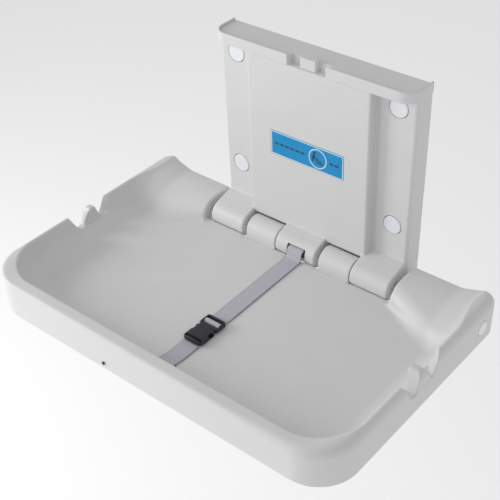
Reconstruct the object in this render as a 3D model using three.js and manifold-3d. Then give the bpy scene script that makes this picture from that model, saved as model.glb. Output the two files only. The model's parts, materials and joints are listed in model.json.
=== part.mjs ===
// Wall-mounted fold-down baby changing station, shown open. Millimetres, +Z up, -Y into the room.
// Origin: on the wall plane, level with the hinge axis, midway along the unit.
import * as THREE from "three";
import { mergeVertices } from "three/addons/utils/BufferGeometryUtils.js";
import Module from "manifold-3d";

const wasm = await Module();
wasm.setup();

// ---------------------------------------------------------------- driving dimensions
const GAP = 0.3; // between pieces that touch
const SKIN = 4; // wall of both mouldings
const ARC = 4; // curve segments of a rounded outline
const FAR = 60; // how far a cutting solid runs past what it cuts

const AXIS_Y = -87; // hinge axis, parallel to X at Z = 0
const KNUCKLE_R = 28;
const ROD_R = 7;
const BORE_R = ROD_R + GAP;

// Wall unit: two recessed columns, a raised centre panel, a ledge on top.
const WALL = { half: 232, depth: 47.4, bottom: -42, corner: 6 };
const PANEL = { half: 146.7, depth: 70.4, bottom: 25, corner: 4 };
const LEDGE = { half: 236, depth: 71.6, bottom: 402, top: 425, corner: 33, lip: 4 };
const DECK_Z = 417.2; // floor of the ledge's recess
const NOTCH = { half: 45, back: -53.5, tongueHalf: 19, tongueFront: -66 };
const SHELF_ANGLE = THREE.MathUtils.degToRad(14.7); // slope of a wall knuckle's top
const UNDER_ANGLE = THREE.MathUtils.degToRad(17); // slope of its underside
const WALL_KNUCKLES = [
  [-229, -141],
  [-50, 50],
  [140, 229],
];
const LABEL = { half: 90, low: 191, high: 246, recess: 1.6 };
const CAP = { x: 193, z: [116, 377], r: 20, wellDepth: 10 };
const PLATE_T = 3;

// Tray: an oblong dish with high rims at the front and ends, and low shoulders at the back.
const TRAY = { half: 430, front: -578.6, back: -28, bottom: -40, rim: 46, edge: 10 };
const TRAY_CORNER = { front: 85, back: 28 };
const BASIN = { half: 415.5, front: -546, back: -30, corner: 95, depth: 62, slope: 75 };
const FLOOR = { backY: -114, backZ: -12, tilt: THREE.MathUtils.degToRad(1.17) };
const SHOULDER = { z: 27, half: 243, front: -126, flareX: 380, flareY: -163, round: 26 };
const BACK_CUT = { half: 404, round: 16 };
const KNUCKLE_CUT_Y = -115.5; // back edge of the dish where the wall knuckles stand
const TRAY_KNUCKLES = [
  [-129, -52],
  [62, 138],
];
const NECK_Y = -120; // front of the block that joins a tray knuckle to the dish
const PLUG_R = 15;

// Bag hooks: a notch in each end rim with a finger standing in it. [y, z] outlines.
const HOOK_NOTCH = [
  [-353, 90],
  [-353, 44],
  [-337, 13],
  [-331, 8],
  [-275, 8],
  [-268, 14],
  [-250, 48],
  [-250, 90],
];
const HOOK_FINGER = [
  [-319, 4],
  [-316, 30],
  [-312, 42],
  [-306, 46],
  [-299, 46],
  [-294, 43],
  [-284, 24],
  [-272, 4],
];
const FINGER_X = [414, 428.5];

// Tray underside: a base cover, two steel arms on the hinge rod and a cross bar.
const BASE = { inset: 12, t: 3.5 };
const ARM = { width: 50, web: 12, low: -34, t: 5, front: -500, back: -54.2, eye: 15 };
const CROSS = { x: [-130, 140], y: [-440, -400], t: 3 };
const POST_R = 5.5;
const BASE_SCREWS = [
  [-300, -470],
  [-300, -220],
  [0, -300],
  [0, -180],
  [300, -470],
  [300, -220],
];

// Gas spring behind the centre panel: a crank on the hinge rod moves its slotted rod end.
const CRANK = { r: 36.4, angle: Math.PI / 4, x: [-38, -33], hub: 12, tip: 4.6 };
const PIN = { r: 2.5, x: [-39.5, -22] };
const CRANK_PIN_Y = AXIS_Y + CRANK.r * Math.cos(CRANK.angle);
const CRANK_PIN_Z = CRANK.r * Math.sin(CRANK.angle);
const SPRING_X = -28;
const SPRING_Y = (CRANK_PIN_Y + AXIS_Y + CRANK.r) / 2;
const SPRING = { r: 8.5, bore: 7, low: 75, high: 235, rod: 4, piston: 180 };
const YOKE = { t: 6.5, wall: 1.9, play: 1.5 }; // play: pin to slot, up and down
const BRACKETS = { upper: [235.4, 239.4], lower: [84, 88] };

// Safety belt: webbing from the centre knuckle to a slot near the front rim, with a buckle.
const BELT_X = 4;
const BELT = { width: 38, t: 1.6, slot: 46, barR: 3 };
const REAR_BAR = { y: -102, z: 8, x: [-24, 32] };
const FRONT_BAR = { y: -508, z: -24, x: [-26, 34], r: 2.5 };
const BUCKLE = { half: 23, h: 11, front: -440, split: -394, back: -362 };
const FRONT_SCREW = { x: -94.6, z: -22.3 };

// ---------------------------------------------------------------- solids
// A closed geometry as a manifold solid, faces out.
function solid(geometry) {
  const bare = geometry.index ? geometry.toNonIndexed() : geometry.clone();
  bare.deleteAttribute("normal");
  bare.deleteAttribute("uv");
  const merged = mergeVertices(bare, 1e-4);
  const vertProperties = merged.attributes.position.array;
  const triVerts = new Uint32Array(merged.index.array);
  const made = new wasm.Manifold(new wasm.Mesh({ numProp: 3, vertProperties, triVerts }));
  if (made.volume() >= 0) return made;
  return new wasm.Manifold(
    new wasm.Mesh({ numProp: 3, vertProperties, triVerts: triVerts.reverse() }),
  );
}

// The solid's triangles as a three.js geometry.
function geometryOf(made) {
  const mesh = made.getMesh();
  const geometry = new THREE.BufferGeometry();
  geometry.setAttribute("position", new THREE.BufferAttribute(mesh.vertProperties, 3));
  geometry.setIndex(new THREE.BufferAttribute(mesh.triVerts, 1));
  geometry.computeVertexNormals();
  return geometry;
}

const union = (solids) => solids.reduce((all, one) => all.add(one));
const mirrorX = (made) => made.mirror([1, 0, 0]);

function block(x0, x1, y0, y1, z0, z1) {
  const geometry = new THREE.BoxGeometry(x1 - x0, y1 - y0, z1 - z0);
  return solid(geometry.translate((x0 + x1) / 2, (y0 + y1) / 2, (z0 + z1) / 2));
}

// Extrusion along Z of an outline in X and Y, with edges rounded by a bevel at both ends.
function prismZ(outline, z0, z1, bevel = 0, inset = bevel, bevelSegments = 3) {
  const geometry = new THREE.ExtrudeGeometry(outline, {
    depth: z1 - z0 - 2 * bevel,
    bevelEnabled: bevel > 0,
    bevelThickness: bevel,
    bevelSize: inset,
    bevelOffset: -inset,
    bevelSegments,
    curveSegments: ARC,
  });
  return solid(geometry.translate(0, 0, z0 + bevel));
}

// Extrusion along X of an outline whose coordinates are Y and Z.
const YZ_TO_X = new THREE.Matrix4().makeBasis(
  new THREE.Vector3(0, 1, 0),
  new THREE.Vector3(0, 0, 1),
  new THREE.Vector3(1, 0, 0),
);
function prismX(outline, x0, x1) {
  const options = { depth: x1 - x0, bevelEnabled: false, curveSegments: ARC };
  const geometry = new THREE.ExtrudeGeometry(outline, options);
  return solid(geometry.applyMatrix4(YZ_TO_X).translate(x0, 0, 0));
}

// Extrusion along Y of an outline whose coordinates are X and Z.
function prismY(outline, y0, y1) {
  const options = { depth: y1 - y0, bevelEnabled: false, curveSegments: ARC };
  const geometry = new THREE.ExtrudeGeometry(outline, options);
  return solid(geometry.rotateX(Math.PI / 2).translate(0, y1, 0));
}

function cylinder(r, length, sides) {
  return new THREE.CylinderGeometry(r, r, length, sides);
}
function rodX(r, x0, x1, y, z, sides = 20) {
  const geometry = cylinder(r, x1 - x0, sides).rotateZ(Math.PI / 2);
  return solid(geometry.translate((x0 + x1) / 2, y, z));
}
function rodY(r, x, y0, y1, z, sides = 16) {
  return solid(cylinder(r, y1 - y0, sides).translate(x, (y0 + y1) / 2, z));
}
function rodZ(r, x, y, z0, z1, sides = 20) {
  const geometry = cylinder(r, z1 - z0, sides).rotateX(Math.PI / 2);
  return solid(geometry.translate(x, y, (z0 + z1) / 2));
}

// Turned piece: [radius, distance along its axis] points, which start and end on the axis.
function turned(points, sides = 20) {
  return new THREE.LatheGeometry(
    points.map(([r, along]) => new THREE.Vector2(r, along)),
    sides,
  );
}

function roundedRect(x0, x1, y0, y1, lowRadius, highRadius = lowRadius) {
  const quarter = Math.PI / 2;
  const shape = new THREE.Shape();
  shape.absarc(x1 - lowRadius, y0 + lowRadius, lowRadius, -quarter, 0);
  shape.absarc(x1 - highRadius, y1 - highRadius, highRadius, 0, quarter);
  shape.absarc(x0 + highRadius, y1 - highRadius, highRadius, quarter, 2 * quarter);
  shape.absarc(x0 + lowRadius, y0 + lowRadius, lowRadius, 2 * quarter, 3 * quarter);
  return shape;
}

const polygon = (points) => new THREE.Shape(points.map(([a, b]) => new THREE.Vector2(a, b)));

// Webbing: a ribbon along a smooth path through [y, z] points, as wide as the belt.
function webbing(path) {
  const curve = new THREE.SplineCurve(path.map(([y, z]) => new THREE.Vector2(y, z)));
  const steps = 2 * (path.length - 1);
  const left = [];
  const right = [];
  for (let i = 0; i <= steps; i += 1) {
    const at = curve.getPoint(i / steps);
    const tangent = curve.getTangent(i / steps);
    const side = new THREE.Vector2(-tangent.y, tangent.x).multiplyScalar(BELT.t / 2);
    left.push(at.clone().add(side));
    right.push(at.clone().sub(side));
  }
  const outline = new THREE.Shape([...left, ...right.reverse()]);
  return prismX(outline, BELT_X - BELT.width / 2, BELT_X + BELT.width / 2);
}

// Points round a bar, from one angle to another.
function roundBar(bar, r, from, to, count) {
  return Array.from({ length: count }, (_, i) => {
    const angle = THREE.MathUtils.degToRad(from + ((to - from) * i) / (count - 1));
    return [bar.y + r * Math.cos(angle), bar.z + r * Math.sin(angle)];
  });
}

// ---------------------------------------------------------------- wall unit
// A wall knuckle's profile in Y and Z: a barrel round the hinge axis under a sloping shelf.
function knuckleProfile(inset) {
  const r = KNUCKLE_R - inset;
  const back = inset ? FAR - AXIS_Y : 1 - WALL.depth - AXIS_Y;
  const top = Math.PI / 2 + SHELF_ANGLE;
  const under = 1.5 * Math.PI - UNDER_ANGLE;
  const rise = (back - r * Math.cos(top)) * Math.tan(SHELF_ANGLE);
  const fall = (back - r * Math.cos(under)) * Math.tan(UNDER_ANGLE);
  const shape = new THREE.Shape();
  shape.absarc(AXIS_Y, 0, r, top, under);
  shape.lineTo(AXIS_Y + back, r * Math.sin(under) - fall);
  shape.lineTo(AXIS_Y + back, r * Math.sin(top) + rise);
  return shape;
}

// The moulding's outer form, or, with an inset, the hollow inside it, open at the wall.
function wallForm(inset) {
  const back = inset ? FAR : -GAP;
  const top = inset ? DECK_Z - inset : LEDGE.top;
  const slab = (half, depth, corner, low, high) => {
    const radius = Math.max(corner - inset, 1.5);
    return prismZ(roundedRect(inset - half, half - inset, inset - depth, back, radius, 1), low, high);
  };
  const joint = inset ? top : LEDGE.bottom + 1;
  const below = block(-FAR * 5, FAR * 5, -FAR * 3, FAR * 2, -FAR * 3, WALL.bottom + inset);
  return union([
    slab(WALL.half, WALL.depth, WALL.corner, WALL.bottom + inset, joint),
    slab(PANEL.half, PANEL.depth, PANEL.corner, PANEL.bottom + inset, joint),
    slab(LEDGE.half, LEDGE.depth, LEDGE.corner, LEDGE.bottom + inset, top),
    ...WALL_KNUCKLES.map(([x0, x1]) => prismX(knuckleProfile(inset), x0 + inset, x1 - inset)),
  ]).subtract(below);
}

const capPlaces = CAP.z.flatMap((z) => [-CAP.x, CAP.x].map((x) => ({ x, z })));
const WELL_Y = CAP.wellDepth - WALL.depth; // bottom of a screw well

function wallShell() {
  const notchWall = block(
    -NOTCH.half - SKIN,
    NOTCH.half + SKIN,
    -LEDGE.depth,
    NOTCH.back + SKIN,
    LEDGE.bottom - SKIN,
    LEDGE.top,
  );
  let shell = wallForm(0).subtract(wallForm(SKIN).subtract(notchWall));
  // Finger notch in the ledge's lip, with a tongue standing in it.
  shell = shell.subtract(
    block(-NOTCH.half, NOTCH.half, -LEDGE.depth - FAR, NOTCH.back, LEDGE.bottom + 1, LEDGE.top + FAR),
  );
  const { tongueHalf, tongueFront } = NOTCH;
  const tongue = roundedRect(-tongueHalf, tongueHalf, tongueFront, NOTCH.back + 1, 3, 1);
  shell = shell.add(prismZ(tongue, LEDGE.bottom, LEDGE.top - 0.5));
  // Recess for the ledge plate.
  const { half, depth, corner, lip } = LEDGE;
  const recess = roundedRect(lip - half, half - lip, lip - depth, FAR, corner - lip, 1);
  const tongueGuard = block(-tongueHalf, tongueHalf, -depth, NOTCH.back, DECK_Z, LEDGE.top);
  shell = shell.subtract(prismZ(recess, DECK_Z, LEDGE.top + FAR).subtract(tongueGuard));
  // Screw wells, each with a boss that reaches the mounting plate.
  for (const { x, z } of capPlaces) {
    shell = shell
      .add(rodY(CAP.r + SKIN, x, 1 - WALL.depth, WELL_Y + SKIN, z, 24))
      .add(rodY(11, x, WELL_Y, -PLATE_T - GAP, z))
      .subtract(rodY(CAP.r + 0.4, x, -WALL.depth - FAR, WELL_Y, z, 28))
      .subtract(rodY(4.5, x, -FAR, FAR, z, 12));
  }
  const { half: labelHalf, low, high, recess: sunk } = LABEL;
  shell = shell.subtract(
    block(-labelHalf - GAP, labelHalf + GAP, -FAR * 2, sunk - PANEL.depth, low - GAP, high + GAP),
  );
  // Bushing seats, belt slot, and the two ribs that hold the belt's rear bar.
  for (const [x0, x1] of WALL_KNUCKLES) {
    shell = shell.subtract(rodX(BUSH.r + GAP, x0 - 1, x1 + 1, AXIS_Y, 0));
  }
  const [ribLow, ribHigh] = REAR_BAR.x;
  const ribs = union(
    [ribLow, ribHigh - SKIN].map((x) => block(x, x + SKIN, AXIS_Y - KNUCKLE_R, AXIS_Y - 9, 1, 22)),
  );
  shell = shell.add(ribs.intersect(wallForm(0)));
  shell = shell.subtract(rodX(BELT.barR + GAP, ribLow - 1, ribHigh + 1, REAR_BAR.y, REAR_BAR.z, 16));
  const slotHalf = BELT.slot / 2;
  return shell.subtract(
    block(BELT_X - slotHalf, BELT_X + slotHalf, AXIS_Y - KNUCKLE_R - 1, AXIS_Y - 18, -4, 15),
  );
}

function mountingPlate() {
  const inside = SKIN + GAP;
  const plate = block(
    inside - WALL.half,
    WALL.half - inside,
    -PLATE_T,
    0,
    WALL.bottom + inside,
    DECK_Z - SKIN - GAP,
  );
  return capPlaces.reduce(
    (made, { x, z }) => made.subtract(rodY(4.5, x, -FAR, FAR, z, 12)),
    plate,
  );
}

function ledgePlate() {
  const { half, depth, corner, lip } = LEDGE;
  const edge = lip + 0.5;
  const outline = roundedRect(edge - half, half - edge, edge - depth, -0.8, corner - lip, 1);
  const notch = NOTCH.half + 0.5;
  const front = block(-notch, notch, -FAR * 2, NOTCH.back + 0.5, DECK_Z - 1, LEDGE.top);
  return prismZ(outline, DECK_Z + GAP, DECK_Z + GAP + 2.5).subtract(front);
}

// A cap fills the mouth of a screw well; the wall screw's head sits behind it.
function screwCap() {
  const face = -WALL.depth - 0.8;
  const profile = [
    [0, face],
    [CAP.r - 1.5, face],
    [CAP.r, face + 1.2],
    [CAP.r, WELL_Y - GAP],
    [CAP.r - 2, WELL_Y - GAP],
    [CAP.r - 2, face + 3],
    [0, face + 3],
  ];
  return solid(turned(profile, 28));
}
function wallScrew() {
  const seat = WELL_Y - GAP;
  return union([
    rodY(6.5, 0, seat - 6, seat - 1.5, 0, 6),
    rodY(9, 0, seat - 1.6, seat, 0),
    rodY(4, 0, seat - 0.1, -GAP, 0, 16),
  ]);
}

const BUSH = { r: 11, flange: 14, flangeT: 2 };
// A bushing in a knuckle's side wall, its flange inside; inward is the sign of X towards it.
function bushing(outerX, inward) {
  const profile = [
    [BORE_R, 0],
    [BUSH.r, 0],
    [BUSH.r, SKIN + GAP],
    [BUSH.flange, SKIN + GAP],
    [BUSH.flange, SKIN + GAP + BUSH.flangeT],
    [BORE_R, SKIN + GAP + BUSH.flangeT],
    [BORE_R, 0],
  ];
  const geometry = turned(profile).rotateZ((-inward * Math.PI) / 2);
  return solid(geometry.translate(outerX, AXIS_Y, 0));
}

// ---------------------------------------------------------------- gas spring
function springTube() {
  const { r, bore, low, high, rod } = SPRING;
  const profile = [
    [0, high + 11],
    [3, high + 11],
    [3, high],
    [r, high],
    [r, low],
    [rod + GAP, low],
    [rod + GAP, low + 3],
    [bore, low + 3],
    [bore, high - 5],
    [0, high - 5],
  ];
  return solid(turned(profile).rotateX(Math.PI / 2).translate(SPRING_X, SPRING_Y, 0));
}

function springRod() {
  const { bore, rod, piston } = SPRING;
  const slotY = (AXIS_Y + CRANK.r - CRANK_PIN_Y) / 2 + PIN.r + GAP;
  const slotZ = PIN.r + YOKE.play;
  const [x0, x1] = [SPRING_X - YOKE.t / 2, SPRING_X + YOKE.t / 2];
  const outline = (y, z, radius) =>
    roundedRect(SPRING_Y - y, SPRING_Y + y, CRANK_PIN_Z - z, CRANK_PIN_Z + z, radius);
  const eye = prismX(outline(slotY + YOKE.wall, slotZ + YOKE.wall, 5), x0, x1);
  return union([
    rodZ(rod, SPRING_X, SPRING_Y, CRANK_PIN_Z + slotZ + 1, piston),
    rodZ(bore - GAP, SPRING_X, SPRING_Y, piston - 10, piston),
    eye.subtract(prismX(outline(slotY, slotZ, 3), x0 - 1, x1 + 1)),
  ]);
}

function crankArm() {
  const [x0, x1] = CRANK.x;
  const arm = polygon([
    [0, -CRANK.hub],
    [CRANK.r, -CRANK.tip],
    [CRANK.r, CRANK.tip],
    [0, CRANK.hub],
  ]);
  const flat = union([
    prismX(arm, x0, x1),
    rodX(CRANK.hub, x0, x1, 0, 0),
    rodX(CRANK.tip, x0, x1, CRANK.r, 0),
  ]);
  return flat
    .subtract(rodX(BORE_R, x0 - 1, x1 + 1, 0, 0))
    .subtract(rodX(PIN.r + GAP, x0 - 1, x1 + 1, CRANK.r, 0))
    .rotate([THREE.MathUtils.radToDeg(CRANK.angle), 0, 0])
    .translate([0, AXIS_Y, 0]);
}

// A shelf on a foot against the mounting plate; the tube or its stud passes through the shelf.
function springBracket([low, high], holeR) {
  const foot = -PLATE_T - GAP;
  return union([
    block(SPRING_X - 14, SPRING_X + 14, -65.5, foot, low, high),
    block(SPRING_X - 20, SPRING_X + 20, foot - 3, foot, low - 18, high + 18),
  ]).subtract(rodZ(holeR, SPRING_X, SPRING_Y, low - 1, high + 1));
}

// ---------------------------------------------------------------- tray
const trayOutline = (inset) =>
  roundedRect(
    inset - TRAY.half,
    TRAY.half - inset,
    TRAY.front + inset,
    TRAY.back - inset,
    TRAY_CORNER.front - inset,
    TRAY_CORNER.back - inset,
  );

// The space above the dish's surface, grown by a skin when it is used for the hollow below.
function basinSpace(grow) {
  const { half, front, back, corner, depth, slope } = BASIN;
  const outline = roundedRect(-half - grow, half + grow, front - grow, back + grow, corner + grow);
  const high = 3 * depth + FAR;
  return prismZ(outline, 0, high, depth, slope, 8)
    .translate([0, -FLOOR.backY, 0])
    .rotate([THREE.MathUtils.radToDeg(FLOOR.tilt), 0, 0])
    .translate([0, FLOOR.backY, FLOOR.backZ - grow]);
}

// Low shoulders behind the dish, either side of the wall unit, flared towards the end rims.
function shoulders(inset) {
  const { z, half, front, flareX, flareY, round } = SHOULDER;
  const side = polygon([
    [half - 60, FAR],
    [half - 60, front],
    [half, front],
    [flareX, flareY],
    [TRAY.half + FAR, flareY - (TRAY.half + FAR - flareX)],
    [TRAY.half + FAR, FAR],
  ]);
  const options = {
    depth: z + 1 - inset - TRAY.bottom - round,
    bevelThickness: round,
    bevelSize: round,
    bevelOffset: -round - inset,
    bevelSegments: 4,
  };
  const geometry = new THREE.ExtrudeGeometry(side, options).translate(0, 0, TRAY.bottom);
  const right = solid(geometry).subtract(block(0, half + inset, -FAR * 5, FAR * 2, -FAR, FAR * 2));
  return right.add(mirrorX(right));
}

function hookNotches(grow) {
  const notch = prismX(polygon(HOOK_NOTCH), BASIN.half - 60, TRAY.half + FAR);
  if (!grow) return notch.add(mirrorX(notch));
  const shifts = [
    [-grow, 0],
    [grow, 0],
    [0, -grow],
    [-grow * 0.7, -grow * 0.7],
    [grow * 0.7, -grow * 0.7],
  ];
  const grown = union(shifts.map(([y, z]) => notch.translate([0, y, z])));
  return grown.add(mirrorX(grown));
}

// The tray's outer form, or, with an inset, the hollow that the skin encloses.
function trayForm(inset) {
  const bottom = TRAY.bottom + inset;
  const body = prismZ(trayOutline(inset), bottom, TRAY.rim - inset, TRAY.edge - inset / 2);
  const cutHalf = BACK_CUT.half + inset;
  const low = SHOULDER.z - inset;
  const backCut = prismY(roundedRect(-cutHalf, cutHalf, low, FAR * 2, BACK_CUT.round), -140, FAR);
  const side = SHOULDER.half + inset;
  const gap = block(-side, side, KNUCKLE_CUT_Y - inset, FAR, -FAR * 2, FAR * 2);
  const barrels = TRAY_KNUCKLES.map(([x0, x1]) =>
    union([
      rodX(KNUCKLE_R - inset, x0 + inset, x1 - inset, AXIS_Y, 0, 28),
      block(x0 + inset, x1 - inset, NECK_Y, AXIS_Y - inset, bottom, FLOOR.backZ - inset),
    ]),
  );
  return union([
    body
      .subtract(basinSpace(inset))
      .add(body.intersect(shoulders(inset)))
      .subtract(backCut)
      .subtract(gap)
      .subtract(hookNotches(inset)),
    ...barrels,
  ]);
}

// Opening in the underside that the base cover fills, a little smaller when shrunk.
function baseOpening(shrink, z0, z1) {
  const side = SHOULDER.half + SKIN + shrink;
  const knuckles = block(-side, side, NECK_Y - SKIN - shrink, FAR, z0 - 1, z1 + 1);
  return prismZ(trayOutline(BASE.inset + shrink), z0, z1).subtract(knuckles);
}

// Height of the dish's surface on the belt's line.
function floorZ(y) {
  const plane = FLOOR.backZ + (y - FLOOR.backY) * Math.tan(FLOOR.tilt);
  const into = Math.max(0, (BASIN.front + BASIN.slope - y) / BASIN.slope);
  return plane + BASIN.depth * (1 - Math.sqrt(1 - into * into));
}

const armCentres = TRAY_KNUCKLES.map(([x0, x1]) => (x0 + x1) / 2);

function trayShell() {
  let shell = trayForm(0).subtract(trayForm(SKIN));
  shell = shell.subtract(baseOpening(0, TRAY.bottom - 1, TRAY.bottom + SKIN + 1));
  const finger = prismX(polygon(HOOK_FINGER), ...FINGER_X);
  shell = shell.add(finger).add(mirrorX(finger));
  // Posts for the base screws.
  for (const [x, y] of BASE_SCREWS) {
    shell = shell
      .add(rodZ(POST_R, x, y, TRAY.bottom + BASE.t + GAP, floorZ(y) - 1, 10))
      .subtract(rodZ(1.9, x, y, TRAY.bottom, floorZ(y) - 6, 8));
  }
  // Belt slot in the dish, and the cheeks that hold the bar below it.
  const [barLow, barHigh] = FRONT_BAR.x;
  for (const x of [barLow, barHigh - SKIN]) {
    shell = shell.add(block(x, x + SKIN, FRONT_BAR.y - 6, FRONT_BAR.y + 6, -30, -15));
  }
  const slotHalf = BELT.slot / 2 - 1;
  shell = shell
    .subtract(rodX(FRONT_BAR.r + GAP, barLow - 1, barHigh + 1, FRONT_BAR.y, FRONT_BAR.z, 16))
    .subtract(block(BELT_X - slotHalf, BELT_X + slotHalf, -515, -505, -FAR, 0));
  // Hinge rod holes, plug seats in the ends, clearance for the steel arms, front screw hole.
  shell = shell
    .subtract(rodX(BORE_R, 1 - TRAY.half, TRAY.half - 1, AXIS_Y, 0))
    .subtract(rodX(PLUG_R, TRAY.half - SKIN - 2, TRAY.half + 1, AXIS_Y, 0, 24))
    .subtract(rodX(PLUG_R, -TRAY.half - 1, SKIN + 2 - TRAY.half, AXIS_Y, 0, 24));
  for (const x of armCentres) {
    const half = ARM.width / 2 + 1;
    shell = shell.subtract(block(x - half, x + half, -100, -45, ARM.low - 1, -KNUCKLE_R));
    shell = shell.subtract(block(x - 7, x + 7, AXIS_Y - 17, AXIS_Y + 12, ARM.low, -15));
  }
  const { x, z } = FRONT_SCREW;
  return shell.subtract(rodY(2.1, x, TRAY.front - 1, TRAY.front + SKIN + 2, z, 12));
}

function trayBase() {
  const plate = baseOpening(GAP, TRAY.bottom, TRAY.bottom + BASE.t);
  return BASE_SCREWS.reduce(
    (made, [x, y]) =>
      made
        .subtract(rodZ(2.1, x, y, TRAY.bottom - 1, 0, 12))
        .subtract(rodZ(4.3, x, y, TRAY.bottom - 1, TRAY.bottom + 2, 12)),
    plate,
  );
}
function baseScrew() {
  return union([
    rodZ(4, 0, 0, TRAY.bottom + GAP, TRAY.bottom + 1.7, 12),
    rodZ(1.6, 0, 0, TRAY.bottom + 1.6, TRAY.bottom + 12, 10),
  ]);
}

// Steel arm: an eye on the hinge rod, a web, and a flat bar under the dish with a stop lug behind.
function trayArm(x) {
  const high = ARM.low + ARM.t;
  const web = polygon([
    [AXIS_Y - ARM.eye, 0],
    [AXIS_Y - ARM.eye, -16],
    [AXIS_Y - 16, high - 1],
    [AXIS_Y + 11, high - 1],
    [AXIS_Y + 11, -8],
  ]);
  const [web0, web1] = [x - ARM.web / 2, x + ARM.web / 2];
  return union([
    rodX(ARM.eye, web0, web1, AXIS_Y, 0),
    prismX(web, web0, web1),
    block(x - ARM.width / 2, x + ARM.width / 2, ARM.front, ARM.back, ARM.low, high),
  ]).subtract(rodX(BORE_R, x - ARM.width, x + ARM.width, AXIS_Y, 0));
}

function hingePlug() {
  const profile = [
    [0, TRAY.half + 0.6],
    [PLUG_R - 2, TRAY.half + 0.6],
    [PLUG_R - GAP, TRAY.half - 0.6],
    [PLUG_R - GAP, TRAY.half - SKIN - 1],
    [PLUG_R - 3, TRAY.half - SKIN - 1],
    [PLUG_R - 3, TRAY.half - 2],
    [0, TRAY.half - 2],
  ];
  return solid(turned(profile, 24).rotateZ(-Math.PI / 2).translate(0, AXIS_Y, 0));
}

// ---------------------------------------------------------------- belt
const LIFT = 1.1 + BELT.t / 2; // webbing's centre line above the dish

function rearStrap() {
  const wrap = BELT.barR + 0.5 + BELT.t / 2;
  const run = [-150, -200, -260, -320].map((y) => [y, floorZ(y) + LIFT]);
  const end = BUCKLE.back + GAP;
  return webbing([
    ...roundBar(REAR_BAR, wrap, -130, 90, 8),
    [-108, 12.2],
    [-113, 11.2],
    [-117.4, 8],
    [-119.6, 2],
    [-120.6, -4],
    [-125, -9],
    [-134, floorZ(-134) + LIFT],
    ...run,
    [end, floorZ(end) + LIFT],
  ]);
}
function frontStrap() {
  const wrap = FRONT_BAR.r + 0.5 + BELT.t / 2;
  const end = BUCKLE.front - GAP;
  return webbing([
    ...roundBar(FRONT_BAR, wrap, 50, -180, 9),
    [-511.6, -18],
    [-510.2, -11.5],
    [-505, -9.6],
    [-496, floorZ(-496) + LIFT],
    [-480, floorZ(-480) + LIFT],
    [-460, floorZ(-460) + LIFT],
    [end, floorZ(end) + LIFT],
  ]);
}

// Side-release buckle. Both halves are built with their underside at z = 0 and x = 0 midway.
const MOUTH = { half: 16, low: 2, high: 9 };
function buckleSocket() {
  const { half, h, front, split } = BUCKLE;
  return prismZ(roundedRect(-half, half, front, split, 5), 0, h, 2, 2, 1)
    .subtract(block(-MOUTH.half, MOUTH.half, -424, split + 1, MOUTH.low, MOUTH.high))
    .subtract(block(-half - 1, half + 1, -414, -402, MOUTH.low, MOUTH.high))
    .subtract(block(3 - half, half - 3, front + 3.5, -430, -1, h + 1));
}
function bucklePlug() {
  const { half, h, split, back } = BUCKLE;
  const near = split + GAP;
  const frame = prismZ(roundedRect(-half, half, near, back, 4), 0.5, h - 0.5, 2, 2, 1);
  const window = (y0, y1) => block(3 - half, half - 3, y0, y1, -1, h + 1);
  const arm = block(9, 13, -418, near + 1, 3, 8).add(block(9, 15.5, -414, -403, 3, 8));
  return union([frame, arm, mirrorX(arm), block(-2.5, 2.5, -416, near + 1, 3, 8)])
    .subtract(window(near + 8, near + 15))
    .subtract(window(near + 19, near + 27));
}

// ---------------------------------------------------------------- scene graph
const finish = {
  moulding: { color: 0xdcdcde, roughness: 0.45, metalness: 0 },
  plate: { color: 0xbdbbba, roughness: 0.5, metalness: 0 },
  cap: { color: 0xe6ebf0, roughness: 0.35, metalness: 0 },
  label: { color: 0x0f94cf, roughness: 0.35, metalness: 0 },
  steel: { color: 0xa9adb2, roughness: 0.35, metalness: 1 },
  webbing: { color: 0xa5a5b2, roughness: 0.9, metalness: 0 },
  buckle: { color: 0x26282c, roughness: 0.4, metalness: 0 },
  nylon: { color: 0xf2f0ea, roughness: 0.5, metalness: 0 },
  rubber: { color: 0x2b2b2b, roughness: 0.8, metalness: 0 },
};

const group = new THREE.Group();
function place(parent, name, made, look, position = [0, 0, 0]) {
  const mesh = new THREE.Mesh(geometryOf(made), new THREE.MeshStandardMaterial(finish[look]));
  mesh.name = name;
  mesh.position.set(...position);
  parent.add(mesh);
}

const wallUnit = new THREE.Group();
group.add(wallUnit);
place(wallUnit, "wall_shell", wallShell(), "moulding");
place(wallUnit, "mounting_plate", mountingPlate(), "steel");
place(wallUnit, "ledge_plate", ledgePlate(), "plate");
const labelSolid = block(
  -LABEL.half,
  LABEL.half,
  0.1 - PANEL.depth,
  LABEL.recess - GAP - PANEL.depth,
  LABEL.low,
  LABEL.high,
);
place(wallUnit, "label_plate", labelSolid, "label");
const capNames = ["lower_left", "lower_right", "upper_left", "upper_right"];
capPlaces.forEach(({ x, z }, i) => {
  place(wallUnit, `screw_cap_${capNames[i]}`, screwCap(), "cap", [x, 0, z]);
  place(wallUnit, `wall_screw_${capNames[i]}`, wallScrew(), "steel", [x, 0, z]);
});
const knuckleNames = ["left", "centre", "right"];
WALL_KNUCKLES.forEach(([x0, x1], i) => {
  place(wallUnit, `bushing_${knuckleNames[i]}_a`, bushing(x0, 1), "nylon");
  place(wallUnit, `bushing_${knuckleNames[i]}_b`, bushing(x1, -1), "nylon");
});
place(wallUnit, "gas_spring_tube", springTube(), "rubber");
place(wallUnit, "gas_spring_bracket_upper", springBracket(BRACKETS.upper, 3.3), "steel");
place(wallUnit, "gas_spring_bracket_lower", springBracket(BRACKETS.lower, SPRING.r + GAP), "steel");
const rearBar = rodX(BELT.barR, ...REAR_BAR.x, REAR_BAR.y, REAR_BAR.z, 16);
place(wallUnit, "belt_bar_rear", rearBar, "steel");
const stopPad = block(-24, 24, ARM.back + GAP, -WALL.depth - GAP, -38, -26);
["left", "right"].forEach((side, i) => {
  place(wallUnit, `stop_pad_${side}`, stopPad, "rubber", [armCentres[i], 0, 0]);
});
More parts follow.
